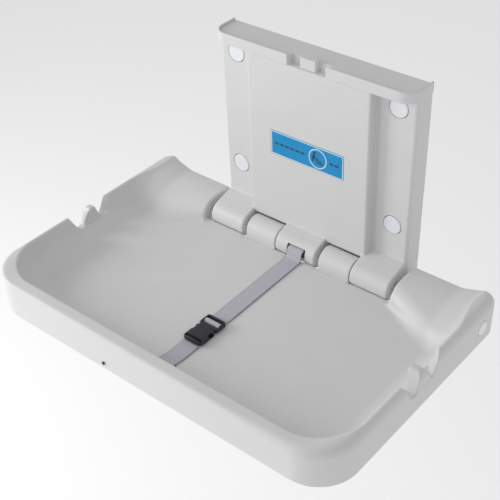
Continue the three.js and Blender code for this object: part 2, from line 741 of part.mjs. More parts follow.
place(wallUnit, "gas_spring_rod", springRod(), "steel");

const tray = new THREE.Group();
group.add(tray);
place(tray, "tray_shell", trayShell(), "moulding");
place(tray, "tray_base", trayBase(), "moulding");
BASE_SCREWS.forEach(([x, y], i) => {
  place(tray, `base_screw_${i + 1}`, baseScrew(), "steel", [x, y, 0]);
});
const rodReach = TRAY.half - SKIN - 3;
place(tray, "hinge_rod", rodX(ROD_R, -rodReach, rodReach, AXIS_Y, 0), "steel");
place(tray, "hinge_plug_right", hingePlug(), "cap");
place(tray, "hinge_plug_left", mirrorX(hingePlug()), "cap");
["left", "right"].forEach((side, i) => {
  place(tray, `tray_arm_${side}`, trayArm(armCentres[i]), "steel");
});
const crossLow = ARM.low + ARM.t + GAP;
const crossBar = block(...CROSS.x, ...CROSS.y, crossLow, crossLow + CROSS.t);
place(tray, "tray_cross_bar", crossBar, "steel");
place(tray, "crank_arm", crankArm(), "steel");
place(tray, "crank_pin", rodX(PIN.r, ...PIN.x, CRANK_PIN_Y, CRANK_PIN_Z), "steel");
const frontBar = rodX(FRONT_BAR.r, ...FRONT_BAR.x, FRONT_BAR.y, FRONT_BAR.z, 16);
place(tray, "belt_bar_front", frontBar, "steel");
const frontScrew = union([
  rodY(3.5, 0, TRAY.front - 1.2, TRAY.front - GAP, 0, 16),
  rodY(1.8, 0, TRAY.front - 1, TRAY.front + 10, 0, 10),
]);
place(tray, "front_screw", frontScrew, "rubber", [FRONT_SCREW.x, 0, FRONT_SCREW.z]);
place(tray, "belt_strap_rear", rearStrap(), "webbing");
place(tray, "belt_strap_front", frontStrap(), "webbing");
const buckleZ = floorZ(BUCKLE.split) + 1.2;
place(tray, "buckle_socket", buckleSocket(), "buckle", [BELT_X, 0, buckleZ]);
place(tray, "buckle_plug", bucklePlug(), "buckle", [BELT_X, 0, buckleZ]);

export default group;
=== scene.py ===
# Looks of the fold-down changing station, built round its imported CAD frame. +Z up, metres.
# The two mouldings are made as distance fields, whose numbers are millimetres in the same frame.
import json
import math

import bmesh
import bpy
import numpy as np
from mathutils import Matrix, Vector


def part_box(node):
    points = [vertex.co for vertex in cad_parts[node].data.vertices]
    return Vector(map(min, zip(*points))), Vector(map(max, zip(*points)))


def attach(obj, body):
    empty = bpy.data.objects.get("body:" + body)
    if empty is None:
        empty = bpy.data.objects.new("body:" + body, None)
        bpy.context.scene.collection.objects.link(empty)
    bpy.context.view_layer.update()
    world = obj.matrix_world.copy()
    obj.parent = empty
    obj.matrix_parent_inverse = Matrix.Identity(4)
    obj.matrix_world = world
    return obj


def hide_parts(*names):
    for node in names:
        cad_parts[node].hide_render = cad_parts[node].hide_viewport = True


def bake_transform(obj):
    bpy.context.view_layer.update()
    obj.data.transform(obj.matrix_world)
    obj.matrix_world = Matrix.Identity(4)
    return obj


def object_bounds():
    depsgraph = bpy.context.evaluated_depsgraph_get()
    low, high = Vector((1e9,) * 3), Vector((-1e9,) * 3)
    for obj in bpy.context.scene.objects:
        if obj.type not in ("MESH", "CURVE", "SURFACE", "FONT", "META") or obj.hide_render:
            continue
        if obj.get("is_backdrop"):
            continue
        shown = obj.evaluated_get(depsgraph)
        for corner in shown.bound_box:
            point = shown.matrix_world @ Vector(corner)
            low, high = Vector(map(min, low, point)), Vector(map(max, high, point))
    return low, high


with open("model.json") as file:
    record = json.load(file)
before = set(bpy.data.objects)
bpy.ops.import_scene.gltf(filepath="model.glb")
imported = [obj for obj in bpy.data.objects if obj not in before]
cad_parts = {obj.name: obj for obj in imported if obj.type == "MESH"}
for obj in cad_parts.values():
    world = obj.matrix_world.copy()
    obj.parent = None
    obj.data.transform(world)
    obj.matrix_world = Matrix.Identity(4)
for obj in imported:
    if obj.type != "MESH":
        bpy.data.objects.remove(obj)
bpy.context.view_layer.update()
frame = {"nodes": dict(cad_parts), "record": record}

MM = 0.001
SKIN = 4.0  # wall of both mouldings
AXIS_Y = -87.0  # hinge axis, at z = 0
KNUCKLE_R = 28.0
BORE_R = 7.3
BELT_X = 4.0  # middle of the belt


# ---------------------------------------------------------------- distance fields
class Grid:
    """Sample points of a box, as three arrays that broadcast to the whole grid."""

    def __init__(self, low, high, step):
        self.low = np.array(low, np.float32)
        self.step = step
        counts = np.ceil((np.array(high) - self.low) / step).astype(int) + 1
        axes = [self.low[k] + step * np.arange(counts[k], dtype=np.float32) for k in range(3)]
        self.x = axes[0][:, None, None]
        self.y = axes[1][None, :, None]
        self.z = axes[2][None, None, :]
        self.shape = tuple(counts)


def smooth_min(a, b, k):
    """The lower of two fields, with a blend about k wide where they meet."""
    h = np.clip(0.5 + 0.5 * (b - a) / k, 0, 1)
    return b + (a - b) * h - k * h * (1 - h)


def smooth_max(a, b, k):
    return -smooth_min(-a, -b, k)


def cut(solid, hole, k=1.0):
    """solid with hole taken out of it, and the edge between them rounded."""
    return smooth_max(solid, -hole, k)


def eroded(field, grid, depth):
    """The field of what lies deeper than depth: the highest of its neighbours at that distance."""
    reach = depth / grid.step
    deepest = field.copy()
    for direction in np.ndindex(3, 3, 3):
        way = np.array(direction) - 1
        if not way.any():
            continue
        cells = np.rint(way * reach / np.linalg.norm(way)).astype(int)
        there = tuple(slice(max(c, 0), n + min(c, 0)) for c, n in zip(cells, field.shape))
        here = tuple(slice(max(-c, 0), n + min(-c, 0)) for c, n in zip(cells, field.shape))
        deepest[here] = np.maximum(deepest[here], field[there])
    return deepest


def ramp(value, low, high):
    """0 below low, 1 above high, smooth between."""
    t = np.clip((value - low) / (high - low), 0, 1)
    return t * t * (3 - 2 * t)


def rounded_rect(x, y, x0, x1, y0, y1, low_radius, high_radius=None):
    """Distance to a rectangle whose corners at y0 have one radius, and at y1 another."""
    cx, cy = (x0 + x1) / 2, (y0 + y1) / 2
    radius = low_radius
    if high_radius is not None:
        radius = np.where(y < cy, low_radius, high_radius)
    qx = np.abs(x - cx) - (x1 - x0) / 2 + radius
    qy = np.abs(y - cy) - (y1 - y0) / 2 + radius
    outside = np.hypot(np.maximum(qx, 0), np.maximum(qy, 0))
    return outside + np.minimum(np.maximum(qx, qy), 0) - radius


def upright(outline, z, z0, z1, radius):
    """An outline in plan made into a solid from z0 to z1, its edges rounded by radius."""
    qz = np.maximum(z0 - z, z - z1) + radius
    qo = outline + radius
    outside = np.hypot(np.maximum(qo, 0), np.maximum(qz, 0))
    return outside + np.minimum(np.maximum(qo, qz), 0) - radius


def box(g, x0, x1, y0, y1, z0, z1, radius=0.0):
    plan = rounded_rect(g.x, g.y, x0, x1, y0, y1, max(radius, 0.01))
    return upright(plan, g.z, z0, z1, max(radius, 0.01))


def rod_x(g, x0, x1, y, z, r):
    radial = np.hypot(g.y - y, g.z - z) - r
    return np.maximum(radial, np.maximum(x0 - g.x, g.x - x1))


def rod_y(g, x, z, y0, y1, r):
    radial = np.hypot(g.x - x, g.z - z) - r
    return np.maximum(radial, np.maximum(y0 - g.y, g.y - y1))


def polygon(u, v, points):
    """Distance to a closed polygon in two coordinates."""
    points = np.array(points, float)
    squared = np.full(np.broadcast(u, v).shape, np.inf, np.float32)
    inside = np.zeros(squared.shape, bool)
    for (au, av), (bu, bv) in zip(points, np.roll(points, -1, axis=0)):
        eu, ev = bu - au, bv - av
        t = np.clip(((u - au) * eu + (v - av) * ev) / (eu * eu + ev * ev), 0, 1)
        squared = np.minimum(squared, (u - au - t * eu) ** 2 + (v - av - t * ev) ** 2)
        if ev:
            crosses = ((v >= av) != (v >= bv)) & (u < au + (v - av) * eu / ev)
            inside ^= crosses
    return np.where(inside, -1, 1) * np.sqrt(squared)


# ---------------------------------------------------------------- fields to meshes
CORNERS = [(i, j, k) for i in (0, 1) for j in (0, 1) for k in (0, 1)]


def sample(field, grid, points):
    """The field's value and slope at points, by its eight neighbours."""
    at = (points - grid.low) / grid.step
    cell = np.clip(np.floor(at).astype(int), 0, np.array(field.shape) - 2)
    f = at - cell
    value = np.zeros(len(points))
    slope = np.zeros((len(points), 3))
    for corner in CORNERS:
        here = field[tuple((cell + corner).T)]
        share = [f[:, k] if corner[k] else 1 - f[:, k] for k in range(3)]
        value += here * share[0] * share[1] * share[2]
        for k in range(3):
            others = share[(k + 1) % 3] * share[(k + 2) % 3]
            slope[:, k] += here * others * (1 if corner[k] else -1)
    return value, slope / grid.step


def surface_net(field, grid):
    """The field's zero level as vertices in millimetres and quads that face outwards."""
    inside = field < 0
    count = np.zeros([n - 1 for n in field.shape], np.uint8)
    for i, j, k in CORNERS:
        count += inside[
            i : i + count.shape[0], j : j + count.shape[1], k : k + count.shape[2]
        ]
    cells = np.argwhere((count > 0) & (count < 8))
    number = np.full(count.shape, -1, np.int32)
    number[tuple(cells.T)] = np.arange(len(cells))
    values = [field[tuple((cells + c).T)] for c in CORNERS]
    total = np.zeros((len(cells), 3))
    hits = np.zeros(len(cells))
    for a, ca in enumerate(CORNERS):
        for b, cb in enumerate(CORNERS):
            step = np.subtract(cb, ca)
            if step.min() < 0 or step.sum() != 1:
                continue
            crossing = (values[a] < 0) != (values[b] < 0)
            t = values[a][crossing] / (values[a][crossing] - values[b][crossing])
            total[crossing] += np.array(ca) + t[:, None] * step
            hits[crossing] += 1
    vertices = grid.low + grid.step * (cells + total / hits[:, None])
    quads = []
    for axis in range(3):
        low = [slice(1, -1)] * 3
        high = [slice(1, -1)] * 3
        low[axis], high[axis] = slice(0, -1), slice(1, None)
        leaves = np.argwhere(inside[tuple(low)] != inside[tuple(high)])
        leaves += [0 if k == axis else 1 for k in range(3)]
        outward = inside[tuple(leaves.T)]
        second, third = np.eye(3, dtype=int)[(axis + 1) % 3], np.eye(3, dtype=int)[(axis + 2) % 3]
        backs = (second + third, third, np.zeros(3, int), second)
        ring = [number[tuple((leaves - back).T)] for back in backs]
        quad = np.stack(ring, axis=1)
        quad[~outward] = quad[~outward][:, ::-1]
        quads.append(quad)
    return vertices, np.concatenate(quads)


def fill_mesh(mesh, vertices, quads):
    """Puts quads into an empty mesh."""
    mesh.vertices.add(len(vertices))
    mesh.vertices.foreach_set("co", np.asarray(vertices, np.float32).ravel())
    mesh.loops.add(quads.size)
    mesh.loops.foreach_set("vertex_index", quads.astype(np.int32).ravel())
    mesh.polygons.add(len(quads))
    mesh.polygons.foreach_set("loop_start", np.arange(0, quads.size, 4, dtype=np.int32))
    mesh.update(calc_edges=True)


def skin_sample(field, solid, grid, points):
    """Value and slope of a hollow field, taken from its solid one where that has the same surface."""
    value, slope = sample(field, grid, points)
    plain_value, plain_slope = sample(solid, grid, points)
    along = (slope * plain_slope).sum(axis=1)
    lengths = np.linalg.norm(slope, axis=1) * np.linalg.norm(plain_slope, axis=1)
    same = (np.abs(plain_value) < 0.4 * grid.step) & (along > 0.85 * lengths)
    value[same] = plain_value[same]
    slope[same] = plain_slope[same]
    return value, slope


def moulded(name, grid, field, faces, solid=None):
    """A smooth object from a distance field, thinned to about that many triangles."""
    field = np.ascontiguousarray(np.broadcast_to(field, grid.shape), np.float32)
    solid = field if solid is None else np.asarray(solid, np.float32)
    vertices, quads = surface_net(field, grid)
    mesh = bpy.data.meshes.new(name)
    fill_mesh(mesh, vertices, quads)
    obj = bpy.data.objects.new(name, mesh)
    bpy.context.scene.collection.objects.link(obj)
    thin = obj.modifiers.new("thin", "DECIMATE")
    thin.ratio = min(1, faces / (2 * len(quads)))
    shown = obj.evaluated_get(bpy.context.evaluated_depsgraph_get())
    thinned = bpy.data.meshes.new_from_object(shown)
    obj.modifiers.remove(thin)
    points = np.empty(3 * len(thinned.vertices), np.float32)
    thinned.vertices.foreach_get("co", points)
    points = points.reshape(-1, 3).astype(float)
    value, slope = skin_sample(field, solid, grid, points)
    steep = np.maximum((slope**2).sum(axis=1), 0.25)
    shift = slope * (value / steep)[:, None]
    points -= np.clip(shift, -0.3 * grid.step, 0.3 * grid.step)
    normals = skin_sample(field, solid, grid, points)[1]
    normals /= np.maximum(np.linalg.norm(normals, axis=1), 1e-6)[:, None]
    thinned.vertices.foreach_set("co", (points * MM).astype(np.float32).ravel())
    thinned.polygons.foreach_set("use_smooth", np.ones(len(thinned.polygons), bool))
    thinned.update()
    thinned.normals_split_custom_set_from_vertices(normals.tolist())
    obj.data = thinned
    thinned.name = name
    bpy.data.meshes.remove(mesh)
    return obj


# ---------------------------------------------------------------- tray
TRAY_HALF = 430.0
TRAY_FRONT = -578.6
TRAY_BACK = -28.0
TRAY_BOTTOM = -40.0
SIDE = 243.0  # inner side of each shoulder, beside the wall unit
DISH_MIDDLE = -4.5  # the dish lies a little to the left in the tray
DISH_FRONT = -549.0
DISH_HALF = 415.5
DISH_DEPTH = 66.0
DISH_WALL = 78.0  # width of its curved wall at the front
DISH_POWER = 2.4  # how square that curve is
NOTCH_Y = -115.4  # where the dish stops in front of the wall knuckles
TROUGH_R = 31.4  # middle of the thin trough behind the dish, under the wall knuckles
TROUGH_HALF = 1.7
TROUGH_BACK = -96.0
TRAY_KNUCKLES = [(-129.0, -52.0), (62.0, 138.0)]


def rim_top(g):
    """Height of the rim: a little lower along the front than at the ends."""
    return 43.5 + 3.5 * ramp(np.abs(g.x), 340, 415) + ramp(g.x, 340, 400)


def floor_height(y):
    """The dish's floor, which falls a little towards the room."""
    return -12.0 + (y + 114) * math.tan(math.radians(1.17))


def dish(g):
    """The hollow of the dish: a gently tilted floor and walls that start with a soft foot."""
    x0, x1 = DISH_MIDDLE - DISH_HALF, DISH_MIDDLE + DISH_HALF
    back, corner = 200.0, 95.0
    outline = rounded_rect(g.x, g.y, x0, x1, DISH_FRONT, back, corner)
    along_x = np.abs(g.x - DISH_MIDDLE) - DISH_HALF
    along_y = np.abs(g.y - (DISH_FRONT + back) / 2) - (back - DISH_FRONT) / 2
    width = DISH_WALL - 26 * ramp(along_x - along_y, -70, 70)
    u = np.clip(1 + outline / width, 0, None)
    v = np.clip(1 - (g.z - floor_height(g.y)) / DISH_DEPTH, 0, None)
    q = (u**DISH_POWER + v**DISH_POWER) ** (1 / DISH_POWER)
    slope = np.hypot(u ** (DISH_POWER - 1) / width, v ** (DISH_POWER - 1) / DISH_DEPTH)
    slope *= np.maximum(q, 0.001) ** (1 - DISH_POWER)
    return (q - 1) / np.maximum(slope, 1e-5)


def shoulder(g):
    """The platforms behind the dish, either side of the wall unit, that rise to the ends' rims."""
    across = np.abs(g.x)
    front = -126 - 0.42 * np.clip(across - 245, 0, 130)
    rise = smooth_max(0.32 * (np.abs(g.x - DISH_MIDDLE) - 356), 0.0, 3)
    top = 29.5 - 0.0028 * (g.y + 70) ** 2 + smooth_min(rise, 19.0, 3)
    behind = (g.y - front) * 0.92
    reach, fall = 32.0 - 6 * ramp(across, 250, 350), 26.0
    a = np.clip(1 - behind / reach, 0, None)
    b = np.clip(1 - (top - g.z) / fall, 0, None)
    q = np.sqrt(a * a + b * b)
    slope = np.sqrt((a / reach) ** 2 + (b / fall) ** 2)
    curved = (q - 1) * q / np.maximum(slope, 1e-5)
    plain = np.maximum(-behind, g.z - top)
    body = np.where((a > 0) & (b > 0), curved, plain)
    return smooth_max(body, SIDE - across, 5)


# Outlines in (y, z) of each end's notch and of the hook that stands in it
HOOK_NOTCH = [
    (-353, 90), (-353, 44), (-337, 13), (-331, 8),
    (-272, 8), (-264, 13), (-246, 46), (-244, 90),
]
HOOK_FINGER = [
    (-325, 4), (-318, 12), (-312, 28), (-307, 40), (-301, 46),
    (-291, 46), (-286, 42), (-277, 24), (-266, 4),
]


def tray_body(g):
    """The tray before it is hollowed: its outline, with the rolled edge of the rim."""
    draft = 0.02 * (46 - g.z)
    plan = rounded_rect(g.x, g.y, -TRAY_HALF, TRAY_HALF, TRAY_FRONT, TRAY_BACK, 85, 28) + draft
    roll = 9 + 13 * ramp(g.x, 150, 420)
    body = smooth_max(upright(plan, g.z, TRAY_BOTTOM, 90, 4.0), g.z - rim_top(g), roll)
    return plan, body


def tray_field(g, plan, body):
    """The tray with its dish, shoulders, trough and knuckles, before the notches."""
    across = np.abs(g.x)
    solid = cut(body, dish(g), 5 + 6 * ramp(g.x, 330, 400))
    platform = smooth_max(shoulder(g), plan, 8)
    platform = np.maximum(platform, np.maximum(TRAY_BOTTOM - g.z, body))
    solid = smooth_min(solid, platform, 11 + 13 * ramp(across, 250, 345))
    solid = np.maximum(solid, body)
    gap = np.maximum(across - SIDE, NOTCH_Y - g.y)
    solid = cut(solid, gap, 1.6)
    trough = np.abs(np.hypot(g.y - AXIS_Y, g.z) - TROUGH_R) - TROUGH_HALF
    trough = np.maximum(trough, np.maximum(np.abs(g.z + 20) - 7, across - SIDE))
    trough = np.maximum(trough, np.maximum(g.y - TROUGH_BACK, 21 - np.abs(g.x - BELT_X)))
    solid = smooth_min(solid, trough, 0.6)
    for x0, x1 in TRAY_KNUCKLES:
        barrel = rod_x(g, x0, x1, AXIS_Y, 0, KNUCKLE_R)
        neck = box(g, x0, x1, -124, AXIS_Y, TRAY_BOTTOM, -12)
        knuckle = np.minimum(barrel, neck)
        solid = smooth_min(solid, knuckle, 1.5)
    return solid


def tray_shell():
    """The tray moulding: a skin, open below, with notches, hooks, bores and slots."""
    step = 2.0
    g = Grid((-436, -584, -46), (436, -22, 54), step)
    plan, body = tray_body(g)
    outer = tray_field(g, plan, body)
    across = np.abs(g.x)
    skew = np.where(g.y > -285, 1.2 * np.clip(428 - across, 0, 22), 0)
    notch = polygon(g.y - skew, g.z, HOOK_NOTCH)
    notch = np.maximum(notch, 380 - across)
    outer = cut(outer, notch, 3)
    shell = np.maximum(outer, -eroded(outer, g, SKIN))
    finger = polygon(g.y, g.z, HOOK_FINGER)
    scoop = 6 * (1 - np.clip((g.z - 8) / 34, 0, 1) ** 2)
    inner_side = np.where(g.x < 0, g.x + 411, 400 - g.x) + scoop
    finger = smooth_max(smooth_max(finger, inner_side, 3), body, 2)
    shell = smooth_min(shell, finger, 4)
    opening = rounded_rect(g.x, g.y, -418, 418, TRAY_FRONT + 12, TRAY_BACK - 12, 73, 16)
    knuckles = np.maximum(across - SIDE - SKIN, -128 - g.y)
    opening = cut(np.maximum(opening, g.z - TRAY_BOTTOM - SKIN - 1), knuckles, 0.5)
    shell = cut(shell, opening, 0.5)
    shell = cut(shell, rod_x(g, -TRAY_HALF + 1, TRAY_HALF - 1, AXIS_Y, 0, BORE_R), 0.5)
    for side in (-1, 1):
        seat = rod_x(g, side * TRAY_HALF - 6, side * TRAY_HALF + 6, AXIS_Y, 0, 15)
        shell = cut(shell, seat, 0.6)
    for x0, x1 in TRAY_KNUCKLES:
        middle = (x0 + x1) / 2
        shell = cut(shell, box(g, middle - 26, middle + 26, -100, -45, -35, -28), 0.5)
        shell = cut(shell, box(g, middle - 7, middle + 7, -104, -75, -34, -15), 0.5)
    shell = cut(shell, box(g, BELT_X - 22, BELT_X + 22, -515, -505, -60, 0), 1)
    return moulded("tray_moulding", g, shell, 190_000, outer)


# ---------------------------------------------------------------- wall unit
WALL_KNUCKLES = [(-229.0, -141.0), (-50.0, 50.0), (140.0, 229.0)]
COLUMN_Y = -47.4
PANEL_Y = -70.4
LEDGE_TOP = 425.0
CAP_PLACES = [(x, z) for z in (116.0, 377.0) for x in (-193.0, 193.0)]


def knuckle_profile(g):
    """Distance to a wall knuckle's section: a barrel under a sloping shelf."""
    dy = g.y - AXIS_Y
    barrel = np.hypot(dy, g.z) - KNUCKLE_R
    top, under = math.radians(14.7), math.radians(17)
    shelf = g.z * math.cos(top) - dy * math.sin(top) - KNUCKLE_R
    foot = -g.z * math.cos(under) - dy * math.sin(under) - KNUCKLE_R
    behind = np.maximum(shelf, foot)
    near = np.minimum(barrel, np.maximum(behind, -dy - 8))
    return np.where(dy > 0, np.maximum(behind, -dy), near)


def wall_field(g):
    """The wall unit as one solid: columns, raised panel, ledge and knuckles."""
    half = 230.0 + 4.0 * ramp(g.z, -42, 402)
    columns = rounded_rect(g.x * 232 / half, g.y, -232, 232, COLUMN_Y, 60, 7)
    columns = upright(columns, g.z, -42, 410, 2.5)
    panel = upright(rounded_rect(g.x, g.y, -146.7, 146.7, PANEL_Y, 60, 4), g.z, 25, 410, 3)
    ledge = upright(rounded_rect(g.x, g.y, -236, 236, -71.6, 60, 33), g.z, 402, LEDGE_TOP, 2)
    solid = smooth_min(smooth_min(columns, panel, 3), ledge, 2)
    section = knuckle_profile(g)
    for x0, x1 in WALL_KNUCKLES:
        knuckle = smooth_max(section, np.maximum(x0 - g.x, g.x - x1), 3)
        solid = smooth_min(solid, knuckle, 2.5)
    return solid


def wall_shell():
    """The wall moulding: a skin, open at the back, with recesses, cap wells, bores and slot."""
    step = 1.6
    g = Grid((-240, -120, -46), (240, 3, 429), step)
    outer = np.broadcast_to(wall_field(g), g.shape)
    across = np.abs(g.x)
    solid = cut(outer, box(g, -45, 45, -140, -53.5, 403, 480, 1.5), 1.5)
    hollow = np.maximum(eroded(outer, g, SKIN), g.z - 413)
    around = box(g, -49, 49, -80, -49.5, 396, 440)
    shell = cut(solid, cut(hollow, around, 0.5), 0.5)
    recess = rounded_rect(g.x, g.y, -232, 232, -67.6, 60, 29)
    recess = upright(recess, g.z, 417.5, 480, 0.5)
    recess = cut(recess, box(g, -19, 19, -80, -53.5, 410, 480), 0.5)
    tongue = upright(rounded_rect(g.x, g.y, -19, 19, -66, -50, 3), g.z, 400, LEDGE_TOP, 2)
    shell = smooth_min(cut(shell, recess, 1), tongue, 1)
    for x, z in CAP_PLACES:
        shell = np.minimum(shell, rod_y(g, x, z, COLUMN_Y + 2, -33.4, 24))
        shell = np.minimum(shell, rod_y(g, x, z, -37.4, -3.3, 11))
        shell = cut(shell, rod_y(g, x, z, -80, -37.4, 21.1), 1)
        shell = cut(shell, rod_y(g, x, z, -80, 20, 4.5), 0.5)
    shell = cut(shell, box(g, -90.5, 90.5, -90, 1.6 + PANEL_Y, 190.5, 246.5, 1.5), 0.8)
    for x0, x1 in WALL_KNUCKLES:
        shell = cut(shell, rod_x(g, x0 - 2, x1 + 2, AXIS_Y, 0, 11.3), 0.5)
    shell = cut(shell, box(g, -19, 27, -125, AXIS_Y - 18, -4, 15, 1), 1.5)
    shell = np.maximum(shell, g.y + 0.3)
    return moulded("wall_moulding", g, shell, 170_000, solid)


# ---------------------------------------------------------------- materials
def math_node(tree, operation, first, second):
    """A math node of two inputs, each a socket or a number; returns its output."""
    node = tree.nodes.new("ShaderNodeMath")
    node.operation = operation
    for socket, value in zip(node.inputs, (first, second)):
        if isinstance(value, (int, float)):
            socket.default_value = value
        else:
            tree.links.new(value, socket)
    return node.outputs[0]


def noise(tree, place, size, detail):
    """Noise about size metres across, as a value from 0 to 1."""
    node = tree.nodes.new("ShaderNodeTexNoise")
    node.inputs["Scale"].default_value = 1 / size
    node.inputs["Detail"].default_value = detail
    tree.links.new(place, node.inputs["Vector"])
    return node.outputs["Fac"]


def spread(tree, value, low, high):
    """A noise value, mostly 0.3 to 0.7, stretched to low to high."""
    node = tree.nodes.new("ShaderNodeMapRange")
    node.inputs["From Min"].default_value = 0.3
    node.inputs["From Max"].default_value = 0.7
    node.inputs["To Min"].default_value = low
    node.inputs["To Max"].default_value = high
    tree.links.new(value, node.inputs["Value"])
    return node.outputs["Result"]


def bump(tree, shader, height, depth):
    node = tree.nodes.new("ShaderNodeBump")
    node.inputs["Distance"].default_value = depth
    node.inputs["Strength"].default_value = 0.5
    tree.links.new(height, node.inputs["Height"])
    tree.links.new(node.outputs["Normal"], shader.inputs["Normal"])


def material(name, color, roughness, metallic=0.0, grain=1.2, depth=0.05, vary=0.06, tint=0.0):
    """A finish with a fine grain (millimetres across and deep) and slow changes of gloss and tint."""
    made = bpy.data.materials.new(name)
    made.use_nodes = True
    tree = made.node_tree
    shader = tree.nodes["Principled BSDF"]
    shader.inputs["Base Color"].default_value = (*color, 1)
    shader.inputs["Roughness"].default_value = roughness
    shader.inputs["Metallic"].default_value = metallic
    place = tree.nodes.new("ShaderNodeTexCoord").outputs["Object"]
    fine = noise(tree, place, grain * MM, 3)
    if depth:
        bump(tree, shader, fine, depth * MM)
    cloud = noise(tree, place, 60 * MM, 4)
    gloss = math_node(tree, "ADD", spread(tree, cloud, -vary, vary), spread(tree, fine, 0, vary))
    tree.links.new(math_node(tree, "ADD", gloss, roughness), shader.inputs["Roughness"])
    if tint:
        shade = tree.nodes.new("ShaderNodeHueSaturation")
        shade.inputs["Color"].default_value = (*color, 1)
        tree.links.new(spread(tree, cloud, 1 - tint, 1 + tint), shade.inputs["Value"])
        tree.links.new(shade.outputs["Color"], shader.inputs["Base Color"])
    return made


WEBBING_GREY = (0.53, 0.515, 0.575)


def woven():
    """Grey belt webbing: a plain weave, darker at its two edges, partly painted shade and partly its
    darker lower layer.
    """
    made = material("webbing", WEBBING_GREY, 0.85, depth=0)
    tree = made.node_tree
    shader = tree.nodes["Principled BSDF"]
    place = tree.nodes.new("ShaderNodeTexCoord").outputs["Object"]
    split = tree.nodes.new("ShaderNodeSeparateXYZ")
    tree.links.new(place, split.inputs[0])
    warp = math_node(tree, "SINE", math_node(tree, "MULTIPLY", split.outputs["X"], 4200), 0)
    along = math_node(tree, "ADD", split.outputs["Y"], split.outputs["Z"])
    weft = math_node(tree, "SINE", math_node(tree, "MULTIPLY", along, 3400), 0)
    weave = math_node(tree, "MULTIPLY", warp, weft)
    height = math_node(tree, "ADD", weave, math_node(tree, "MULTIPLY", warp, 0.6))
    bump(tree, shader, height, 0.12 * MM)
    # Painted shade: the colour darkens towards both edges, standing for the shade along the webbing's
    # sides together with its darker lower layer.
    from_middle = math_node(tree, "SUBTRACT", split.outputs["X"], BELT_X * MM)
    from_middle = math_node(tree, "ABSOLUTE", from_middle, 0)
    edge = tree.nodes.new("ShaderNodeMapRange")
    edge.inputs["From Min"].default_value = 17.2 * MM
    edge.inputs["From Max"].default_value = 18.6 * MM
    edge.inputs["To Min"].default_value = 1
    edge.inputs["To Max"].default_value = 0.45
    tree.links.new(from_middle, edge.inputs["Value"])
    shade = tree.nodes.new("ShaderNodeHueSaturation")
    shade.inputs["Color"].default_value = (*WEBBING_GREY, 1)
    thread = math_node(tree, "ADD", math_node(tree, "MULTIPLY", weave, 0.12), 1)
    value = math_node(tree, "MULTIPLY", edge.outputs["Result"], thread)
    tree.links.new(value, shade.inputs["Value"])
    tree.links.new(shade.outputs["Color"], shader.inputs["Base Color"])
    return made


plastic = material("plastic", (0.72, 0.715, 0.72), 0.42, grain=1.6, depth=0.04, tint=0.01)
plate_grey = material("plate_grey", (0.74, 0.73, 0.725), 0.45, grain=0.9, depth=0.05, tint=0.015)
cap_white = material("cap_white", (0.84, 0.87, 0.91), 0.3, depth=0.02, tint=0.01)
plug_white = material("plug_white", (0.93, 0.93, 0.93), 0.35, depth=0.02, tint=0.01)
label_blue = material("label_blue", (0.002, 0.29, 0.62), 0.3, grain=0.4, depth=0.01, tint=0.02)
label_white = material("label_white", (0.78, 0.88, 0.95), 0.35, depth=0.01, tint=0.01)
label_dark = material("label_dark", (0.02, 0.07, 0.16), 0.35, depth=0.01, tint=0.02)
steel = material("steel", (0.6, 0.6, 0.62), 0.32, 1, grain=0.5, depth=0.01, vary=0.08, tint=0.03)
chrome = material("chrome", (0.78, 0.78, 0.8), 0.12, 1, grain=0.4, depth=0.003, vary=0.03, tint=0.01)
tube_black = material("tube_black", (0.025, 0.025, 0.028), 0.35, grain=0.5, depth=0.01, tint=0.05)
webbing = woven()
buckle_black = material("buckle_black", (0.018, 0.02, 0.026), 0.36, grain=0.35, depth=0.02, tint=0.05)
nylon = material("nylon", (0.85, 0.83, 0.78), 0.5, grain=0.6, depth=0.02, tint=0.02)
rubber = material("rubber", (0.03, 0.03, 0.03), 0.8, grain=0.5, depth=0.05, tint=0.05)

SLOT_LOOKS = {
    "moulding": plastic,
    "ledge_grey": plate_grey,
    "cap_white": cap_white,
    "label_blue": label_blue,
    "steel": steel,
    "rod_chrome": chrome,
    "gas_tube": tube_black,
    "webbing": webbing,
    "buckle_black": buckle_black,
    "screw_black": rubber,
    "nylon": nylon,
    "rubber": rubber,
}
for part in frame["record"]["subparts"]:
    node = frame["nodes"][part["node"]]
    look = SLOT_LOOKS[part["material_slot"]]
    if part["node"].startswith("hinge_plug"):
        look = plug_white
    node.data.materials.clear()
    node.data.materials.append(look)


def dress(obj, look, body, slot, *nodes):
    """Gives a visual piece its finish and body; slot is not used; nodes are the CAD pieces that it
    replaces.
    """
    obj.data.materials.append(look)
    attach(obj, body)
    if nodes:
        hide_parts(*nodes)
    return obj


dress(tray_shell(), plastic, "tray", "moulding", "tray_shell")
dress(wall_shell(), plastic, "wall_unit", "moulding", "wall_shell")


# ---------------------------------------------------------------- belt
BUCKLE_Z = floor_height(-394.0) + 1.2
LIFT = 1.9  # webbing's centre line above the dish
BELT_HALF = 19  # half its width
BELT_THIN = 0.8  # half its thickness
AROUND = 64  # points round the webbing's section


def dish_height(y):
    """The dish's surface on the belt's line."""
    u = max(0.0, (DISH_FRONT + DISH_WALL - y) / DISH_WALL)
    return floor_height(y) + DISH_DEPTH * (1 - (1 - u**DISH_POWER) ** (1 / DISH_POWER))


def arc(y, z, r, start, end, count):
    """Points on a circle round (y, z), from start to end degrees."""
    turns = np.radians(np.linspace(start, end, count))
    return [(y + r * math.cos(t), z + r * math.sin(t)) for t in turns]


